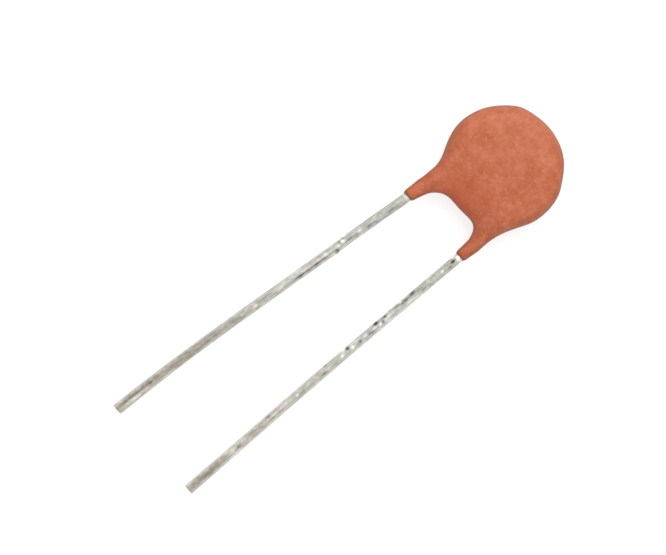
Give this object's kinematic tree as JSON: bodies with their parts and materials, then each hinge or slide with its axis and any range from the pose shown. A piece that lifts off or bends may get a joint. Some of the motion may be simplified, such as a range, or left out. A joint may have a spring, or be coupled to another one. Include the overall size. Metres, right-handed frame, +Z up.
{
  "type": "ceramic disc capacitor",
  "caption": "Ceramic disc capacitor: a round, flat dipped body with stiff tinned wire leads that leave its rim side by side.",
  "frame": {"origin": "on the surface that the part lies on, under the middle of its ceramic disc", "axes": "+Z up through the disc's two faces; the leads run towards -Y; +X to the right as seen from above with the leads pointing down"},
  "size_m": [0.0087, 0.0318, 0.0028],
  "materials": {
    "coat": "satin, finely mottled orange-brown dipped resin",
    "lead_wire": "tinned, softly streaked, slightly dull",
    "dielectric": "sintered, matte",
    "silver_film": "fired silver, matte",
    "solder": "satin solder"
  },
  "bodies": {
    "root": {"coat": "coat", "left_lead": "lead_wire", "right_lead": "lead_wire", "ceramic_disc": "dielectric", "top_electrode": "silver_film", "bottom_electrode": "silver_film", "top_solder": "solder", "bottom_solder": "solder"}
  },
  "joints": []
}
